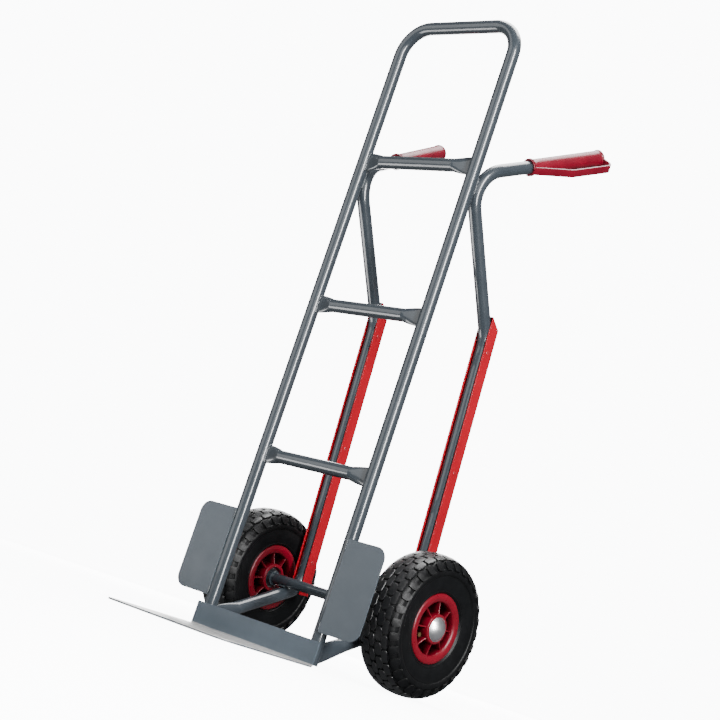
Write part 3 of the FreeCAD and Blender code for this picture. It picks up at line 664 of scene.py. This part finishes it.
def knuckle_band(start, axis, reach, width, length, root):
    """A rounded strip carried along a path of (along, reach) points, from the collar out over the
    knuckles and back into the end rim."""
    far = 0.041
    corners = [(0.002, root), (0.012, root + 0.004), (0.078, far), (length - 0.002, far),
               (length - 0.002, root)]
    path = round_path(corners, [0.012, 0.030, 0.012])
    tangent = np.gradient(path, axis=0)
    tangent /= np.linalg.norm(tangent, axis=1, keepdims=True)
    normal = np.stack([-tangent[:, 1], tangent[:, 0]], axis=1)
    thick, wide, edge = 0.0020, 0.0078, 0.0009
    turn = np.linspace(0, np.pi / 2, 4)
    corner = np.stack([thick - edge + edge * np.cos(turn),
                       wide - edge + edge * np.sin(turn)], axis=1)
    section = np.concatenate([corner, corner[::-1] * [-1, 1], -corner, corner[::-1] * [1, -1]])
    plane = path[:, None] + section[None, :, :1] * normal[:, None]
    points = (start + plane[..., :1] * axis + plane[..., 1:] * reach
              + section[None, :, 1:] * width)
    return points.reshape(-1, 3), rod_faces(len(path), len(section))


def make_grips():
    """The sleeve's closed profile turned about the handle, and the band."""
    bore, slim, full = 0.01252, 0.0147, 0.0163
    for side, sign in sides.items():
        start, axis, reach, width, length = grip_axes(side, sign)
        tube_end = length - 0.003
        profile = [(0.0006, bore), (0.0, bore + 0.0008), (0.0, 0.0164), (0.0005, 0.0168),
                   (0.0017, 0.0168), (0.0022, 0.0163), (0.0026, 0.0156), (0.0033, 0.0156),
                   (0.0038, 0.0163), (0.0043, 0.0168), (0.0055, 0.0168), (0.0062, 0.0162),
                   (0.0072, 0.0152), (0.0100, slim)]
        profile += [(a, slim + (full - slim) * (a - 0.01) / (length - 0.018))
                    for a in np.linspace(0.02, length - 0.009, 12)]
        profile += [(length - 0.0052, full + 0.0003), (length - 0.0042, 0.0171),
                    (length - 0.0036, 0.0175), (length - 0.0010, 0.0175), (length, 0.0168),
                    (length, 0.0150), (length - 0.0006, 0.0142), (length - 0.0006, 0.0),
                    (tube_end - 0.0001, 0.0), (tube_end - 0.0001, bore)]
        sleeve = revolved(profile, start, axis, reach, 56, closed=True)
        band = knuckle_band(start, axis, reach, width, length, slim - 0.001)
        grip = new_piece("grip_moulding_" + side, [sleeve, band], grip_plastic,
                         "frame", sharp=42)
        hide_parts("grip_" + side)


grip_plastic = finish("grip_plastic", (0.115, 0.0016, 0.0095), (0.150, 0.0024, 0.0125),
                      (0.30, 0.40), grain=26.0, bump=0.04, Specular_IOR_Level=0.34)
make_grips()


# ---------------------------------------------------------------- tyres
# Black moulded rubber: a round casing with a raised ring on each sidewall, five rows of scale
# shaped blocks round the crown, each row half a block on from the next, and slanted lugs on the
# shoulders.
block_count = 30
groove_depth = 0.0042
crown_radius, crown_half = 0.1215, 0.031


def wheel_frames():
    """Each wheel's side, its middle on the axle and the outward direction along it."""
    places = {j["child"]: j["pos_m"] for j in frame["joints"]}
    return [(side, np.array(places["wheel_" + side]), sign) for side, sign in sides.items()]


def smooth_through(points, per_span=6):
    """A Catmull-Rom curve through the points, whose ends are repeated."""
    points = np.asarray(points, float)
    padded = np.concatenate([points[:1], points, points[-1:]])
    share = np.linspace(0, 1, per_span, endpoint=False)[None, :, None]
    a, b, c, d = (padded[k:len(padded) - 3 + k, None] for k in range(4))
    curve = 0.5 * (2 * b + (c - a) * share + (2 * a - 5 * b + 4 * c - d) * share ** 2
                   + (3 * b - a - 3 * c + d) * share ** 3)
    return np.concatenate([curve.reshape(-1, points.shape[1]), points[-1:]])


def casing_profile():
    """Half the casing's section as (x, r) in metres: from the middle of the crown over the
    shoulder, the raised ring and the sidewall to the rim."""
    crown = smooth_through([(0, 0.1258), (0.012, 0.1253), (0.023, 0.1235), (0.031, 0.1198),
                            (0.0362, 0.1150), (0.0385, 0.1095)])
    ring = smooth_through([(0.0390, 0.1082), (0.0404, 0.1074), (0.0419, 0.1050), (0.0424, 0.1020),
                           (0.0420, 0.0990), (0.0409, 0.0972), (0.0398, 0.0965)], 4)
    wall = smooth_through([(0.0394, 0.0955), (0.0396, 0.0900), (0.0394, 0.0840), (0.0386, 0.0775),
                           (0.0372, 0.0715), (0.0366, 0.0695), (0.0371, 0.0683), (0.0366, 0.0670),
                           (0.0350, 0.0655), (0.0330, 0.0632), (0.0308, 0.0612)], 4)
    return np.concatenate([crown, ring, wall])


def casing_shell(middle):
    """The closed section turned about the axle: out along one half, in along the other, and back
    along the inner wall."""
    half = casing_profile()
    inner = np.array([(0.0305, 0.0518), (0.0280, 0.0518), (0.0262, 0.0640), (0.0350, 0.0880),
                      (0.0300, 0.1120), (0.0, 0.1200)])
    loop = np.concatenate([half, inner, inner[-2::-1] * [-1, 1], half[:0:-1] * [-1, 1]])
    return revolved(loop, middle, (1, 0, 0), (0, 1, 0), 180, closed=True)


def on_crown(turn, across, height, middle):
    """The point at an angle round the wheel, a distance across the tread from its middle and a
    height above the casing. Across follows the section's arc length, and height its normal."""
    half = casing_profile()
    section = np.concatenate([half[:0:-1] * [-1, 1], half])
    legs = np.linalg.norm(np.diff(section, axis=0), axis=1)
    reach = np.concatenate([[0], np.cumsum(legs)])
    reach -= reach[len(half) - 1]
    tangent = np.gradient(section, axis=0)
    tangent /= np.linalg.norm(tangent, axis=1, keepdims=True)
    x = np.interp(across, reach, section[:, 0]) - height * np.interp(across, reach, tangent[:, 1])
    r = np.interp(across, reach, section[:, 1]) + height * np.interp(across, reach, tangent[:, 0])
    return np.stack([middle[0] + x, middle[1] + r * np.cos(turn), middle[2] + r * np.sin(turn)],
                    axis=-1)


def block_row(outline, across, stagger, height, middle, mirrored=1.0):
    """One row of blocks. The outline is (share of the pitch, distance across) about the block's
    middle; each block has a foot in the casing, a wall, a rounded edge and a slightly high top."""
    pitch = 2 * np.pi / block_count
    levels = [(1.0, -0.0012), (0.985, height - 0.0007), (0.93, height - 0.0001), (0.60, height)]
    turn = (np.arange(block_count) + stagger)[:, None, None] * pitch
    centre = outline.mean(0)
    scales = np.array([s for s, h in levels])[None, :, None]
    shape = centre + (outline[None, None] - centre) * scales[..., None]
    heights = np.broadcast_to(np.array([h for s, h in levels])[None, :, None],
                              (block_count, len(levels), len(outline)))
    points = on_crown(turn + shape[..., 0] * pitch,
                      np.broadcast_to(mirrored * (across + shape[..., 1]), heights.shape),
                      heights, middle)
    block = rod_faces(len(levels), len(outline))
    size = len(outline) * len(levels)
    faces = [[i + k * size for i in face] for k in range(block_count) for face in block]
    return points.reshape(-1, 3), faces


def scale_outline(inner, outer):
    """A fish scale: straight sides, a flat inner end with cut corners and a bowed outer end."""
    bow = np.linspace(0, np.pi, 9)
    rounded = np.stack([-0.44 * np.cos(bow), outer - 0.0048 + 0.0048 * np.sin(bow)], axis=1)
    flat = np.array([(0.44, inner + 0.0030), (0.30, inner), (-0.30, inner),
                     (-0.44, inner + 0.0030)])
    return np.concatenate([rounded, flat])


def lens_outline(half_width):
    """The middle row's block: both ends bowed."""
    bow = np.linspace(0, np.pi, 9)
    upper = np.stack([-0.44 * np.cos(bow), half_width - 0.0040 + 0.0040 * np.sin(bow)], axis=1)
    return np.concatenate([upper, -upper])


def lug_outline():
    """A shoulder lug: wide and straight at the crown, slanting to a narrow foot by the ring."""
    return np.array([(-0.30, -0.0065), (-0.10, -0.0082), (0.12, -0.0082), (0.32, -0.0060),
                     (0.34, 0.0020), (0.24, 0.0095), (-0.18, 0.0105), (-0.28, 0.0060)])


def make_tyres():
    """The casing and all its blocks in one moulding: the middle row once, the others mirrored to
    both sides. The crown's rubber shines more."""
    rows = [(scale_outline(-0.0062, 0.0080), 0.0125, 0.5, groove_depth - 0.0001),
            (scale_outline(-0.0062, 0.0070), 0.0248, 0.0, groove_depth - 0.0004),
            (lug_outline(), 0.0400, 0.5, 0.0036)]
    for side, middle, _ in wheel_frames():
        shells = [casing_shell(middle),
                  block_row(lens_outline(0.0062), 0.0, 0.0, groove_depth, middle)]
        shells += [block_row(*row, middle, mirrored) for mirrored in (1.0, -1.0) for row in rows]
        tyre = new_piece("tyre_tread_" + side, shells, wall_rubber, "wheel_" + side,
                         sharp=32)
        tyre.data.materials.append(tread_rubber)
        centres = np.zeros(len(tyre.data.polygons) * 3)
        tyre.data.polygons.foreach_get("center", centres)
        across, forward, up = (centres.reshape(-1, 3) - middle).T
        crown = (np.hypot(forward, up) > crown_radius) & (np.abs(across) < crown_half)
        tyre.data.polygons.foreach_set("material_index", crown.astype(np.int32))
        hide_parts("tyre_" + side)


wall_rubber = finish("wall_rubber", (0.0012, 0.0013, 0.0016), (0.0026, 0.0028, 0.0032),
                     (0.40, 0.52), grain=40.0, bump=0.15, bump_grain=900.0,
                     Specular_IOR_Level=0.22)
tread_rubber = finish("tread_rubber", (0.0018, 0.0020, 0.0023), (0.0040, 0.0043, 0.0048),
                      (0.36, 0.48), grain=60.0, bump=0.15, bump_grain=900.0,
                      Specular_IOR_Level=0.7)
make_tyres()


# ---------------------------------------------------------------- rims
# Each rim is two red nylon mouldings screwed together: a rounded ring that the tyre's bead sits
# on, a hub that holds a bearing, a web between them and eight thin ribs.
rib_count = 8
rib_phase = {"left": 5.0, "right": 15.0}
screw_circle = 0.03725


def ring_profile():
    """The ring's closed section as (out, r): the barrel, the flange and the rounded lip."""
    lip = smooth_through([(0.0315, 0.0615), (0.0318, 0.0628), (0.0330, 0.0635), (0.0346, 0.0629),
                          (0.0360, 0.0606), (0.0366, 0.0575), (0.0362, 0.0542), (0.0350, 0.0512),
                          (0.0332, 0.0489), (0.0310, 0.0477)], 4)
    barrel = [(0.0, 0.0475), (0.0, 0.0515), (0.0310, 0.0515), (0.0312, 0.0560)]
    return np.concatenate([barrel, lip])


def hub_profile(length, bearing_r, bearing_at):
    """The hub's closed section: outside with a rounded mouth, then the bearing's seat."""
    outer = 0.0270
    return [(0.0, outer + 0.0006), (length * 0.5, outer + 0.0002), (length - 0.0016, outer),
            (length - 0.0006, outer - 0.0004), (length, outer - 0.0013),
            (length, bearing_r + 0.0006), (length - 0.0006, bearing_r), (bearing_at, bearing_r),
            (bearing_at, bearing_r - 0.004), (0.0, bearing_r - 0.004)]


def rib_shell(turn, middle, out):
    """A thin wall from the hub to the ring: a section with a half-round free edge, carried outwards
    along radius, whose top falls from the hub's mouth to the ring while half its width varies."""
    radius = np.array([0.0262, 0.0275, 0.0300, 0.0360, 0.0420, 0.0465, 0.0484])
    top = np.array([0.0345, 0.0338, 0.0330, 0.0318, 0.0308, 0.0303, 0.0303])
    half = np.array([0.0017, 0.0015, 0.00135, 0.0013, 0.0013, 0.0015, 0.0018])
    bow = np.linspace(0, np.pi, 7)
    side = np.concatenate([[1.0], np.cos(bow), [-1.0]])[None, :] * half[:, None]
    rise = np.concatenate([[0.0], np.ones(7), [0.0]])[None, :] * (top - half)[:, None]
    rise = rise + np.concatenate([[0.0], np.sin(bow), [0.0]])[None, :] * half[:, None]
    rise = rise + np.concatenate([[0.004], np.zeros(7), [0.004]])[None, :]
    spoke = np.array([math.cos(turn), math.sin(turn)])
    cross = np.array([-math.sin(turn), math.cos(turn)])
    y = middle[1] + radius[:, None] * spoke[0] + side * cross[0]
    z = middle[2] + radius[:, None] * spoke[1] + side * cross[1]
    points = np.stack([middle[0] + out * rise, y, z], axis=-1)
    return points.reshape(-1, 3), rod_faces(*side.shape)


def rim_shells(side, middle, out, bosses):
    """Ring, web, hub, ribs and, on the outer half, the bosses that the screws bite in."""
    axis, level = (out, 0, 0), (0, 1, 0)
    web = [(0.0, 0.024), (0.0, 0.0500), (0.005, 0.0500), (0.005, 0.024)]
    boss = [(0.004, 0.0), (0.004, 0.0058), (0.0142, 0.0055), (0.0149, 0.0049), (0.015, 0.0)]
    hub = hub_profile(length=0.0375, bearing_r=0.0210, bearing_at=0.0195)
    shells = [revolved(ring_profile(), middle, axis, level, 120, closed=True),
              revolved(web, middle, axis, level, 96, closed=True),
              revolved(hub, middle, axis, level, 72, closed=True)]
    step = 360.0 / rib_count
    for k in range(rib_count):
        turn = rib_phase[side] + k * step
        shells.append(rib_shell(math.radians(turn), middle, out))
        if bosses and k % 2 == 1:
            angle = math.radians(turn + step / 2)
            seat = middle + screw_circle * np.array([0, math.cos(angle), math.sin(angle)])
            shells.append(revolved(boss, seat, axis, level, 20))
    return shells


def make_rims():
    """Outer and inner half of each wheel; out points away from the wheel's middle plane."""
    for side, middle, sign in wheel_frames():
        for half, out in (("outer", sign), ("inner", -sign)):
            rim = new_piece("rim_moulding_" + half + "_" + side,
                            rim_shells(side, middle, out, half == "outer"), rim_plastic,
                            "wheel_" + side, sharp=38)
            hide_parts("rim_" + half + "_half_" + side)


def pocket_shaded_plastic(name, dark, light, bottom, mouth):
    """Moulded plastic with painted shade in its pockets: the colour falls to a twelfth from mouth
    down to bottom, both distances from the wheel's middle plane."""
    material = finish(name, dark, light, (0.26, 0.36), grain=45.0, bump=0.08,
                      Specular_IOR_Level=0.4)
    tree = material.node_tree
    across = tree.nodes.new("ShaderNodeSeparateXYZ")
    tree.links.new(tree.nodes["Texture Coordinate"].outputs["Object"], across.inputs["Vector"])
    wheel_x = float(abs(wheel_frames()[0][1][0]))
    out = math_node(tree, "ABSOLUTE", across.outputs["X"])
    away = math_node(tree, "ABSOLUTE", math_node(tree, "SUBTRACT", out, wheel_x))
    mix = tree.nodes.new("ShaderNodeMix")
    mix.data_type = "RGBA"
    mix.inputs["A"].default_value = (0, 0, 0, 1)
    tree.links.new(ranged(tree, away, (bottom, mouth), (1 / 12, 1.0), "SMOOTHSTEP"),
                   mix.inputs["Factor"])
    tree.links.new(tree.nodes["Color Ramp"].outputs["Color"], mix.inputs["B"])
    tree.links.new(mix.outputs["Result"], tree.nodes["Principled BSDF"].inputs["Base Color"])
    return material


# The rims' colour darkens into the pockets towards the web: painted shade.
rim_plastic = pocket_shaded_plastic("rim_plastic", (0.120, 0.0014, 0.0075), (0.150, 0.0020, 0.0100),
                             bottom=0.018, mouth=0.036)
make_rims()


# ---------------------------------------------------------------- hub caps
# Pressed steel domes, chrome plated. Each has a rolled lip, and a skirt that is pushed into the
# hub's mouth.
def make_caps():
    """The outside from the skirt over the lip to the dome's middle, and back inside."""
    share = np.linspace(0.0, 1.0, 14)
    rise = 0.0107 * (1 - share ** 2) ** 0.9
    dome = np.stack([0.0383 + rise, 0.0213 * share], axis=1)[::-1]
    inside = np.stack([0.0376 + rise * 0.97, 0.0203 * share], axis=1)
    skirt = [(0.0332, 0.0202), (0.0332, 0.0209), (0.0374, 0.0209)]
    lip = [(0.0376, 0.0216), (0.0378, 0.0220), (0.0381, 0.0221), (0.0384, 0.0219),
           (0.0385, 0.0216)]
    profile = np.concatenate([skirt, lip, dome, inside])
    for side, middle, sign in wheel_frames():
        shell = revolved(profile, middle, (sign, 0, 0), (0, 1, 0), 64, closed=True)
        cap = new_piece("hub_dome_" + side, [shell], chrome, "wheel_" + side,
                        sharp=50)
        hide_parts("hub_cap_" + side)


chrome = finish("chrome", (0.76, 0.76, 0.77), (0.90, 0.90, 0.91), (0.28, 0.38), grain=40.0,
                bump=0.05, bump_grain=260.0, Metallic=1.0)
make_caps()


# ---------------------------------------------------------------- inner workings
# What the wheels hold inside: rubber tubes with brass valves, screws that join the rim halves,
# greased ball bearings with their seals, spacers, washers and split pins.
zinc = finish("zinc", (0.42, 0.43, 0.44), (0.60, 0.61, 0.62), (0.22, 0.42), grain=300.0,
              bump=0.1, Metallic=1.0)
brass = finish("brass", (0.62, 0.42, 0.16), (0.80, 0.58, 0.26), (0.18, 0.34), grain=220.0,
               bump=0.1, Metallic=1.0)
bearing_steel = finish("bearing_steel", (0.50, 0.50, 0.52), (0.66, 0.66, 0.68), (0.12, 0.26),
                       grain=240.0, bump=0.06, Metallic=1.0)
tube_rubber = finish("tube_rubber", (0.014, 0.014, 0.015), (0.024, 0.024, 0.026), (0.45, 0.62),
                     grain=60.0, bump=0.12)
seal_rubber = finish("seal_rubber", (0.010, 0.010, 0.011), (0.020, 0.020, 0.021), (0.36, 0.52),
                     grain=180.0, bump=0.12)
cage_plastic = finish("cage_plastic", (0.014, 0.014, 0.014), (0.026, 0.026, 0.026), (0.42, 0.58),
                      grain=180.0, bump=0.12)
inner_finishes = {
    "inner_tube": (tube_rubber, "tube_rubber"), "valve_stem": (brass, "valve_brass"),
    "valve_cap": (brass, "valve_brass"), "rim_screws": (zinc, "zinc_steel"),
    "bearing_outer_races": (bearing_steel, "bearing_steel"),
    "bearing_inner_races": (bearing_steel, "bearing_steel"),
    "bearing_balls": (bearing_steel, "bearing_steel"),
    "bearing_cages": (cage_plastic, "black_plastic"), "bearing_seals": (seal_rubber, "seal_rubber"),
    "hub_spacer": (zinc, "zinc_steel"), "axle_washer": (zinc, "zinc_steel"),
    "split_pin": (zinc, "zinc_steel"),
}
for name, (material, slot) in inner_finishes.items():
    for side in sides:
        dress(name + "_" + side, material)
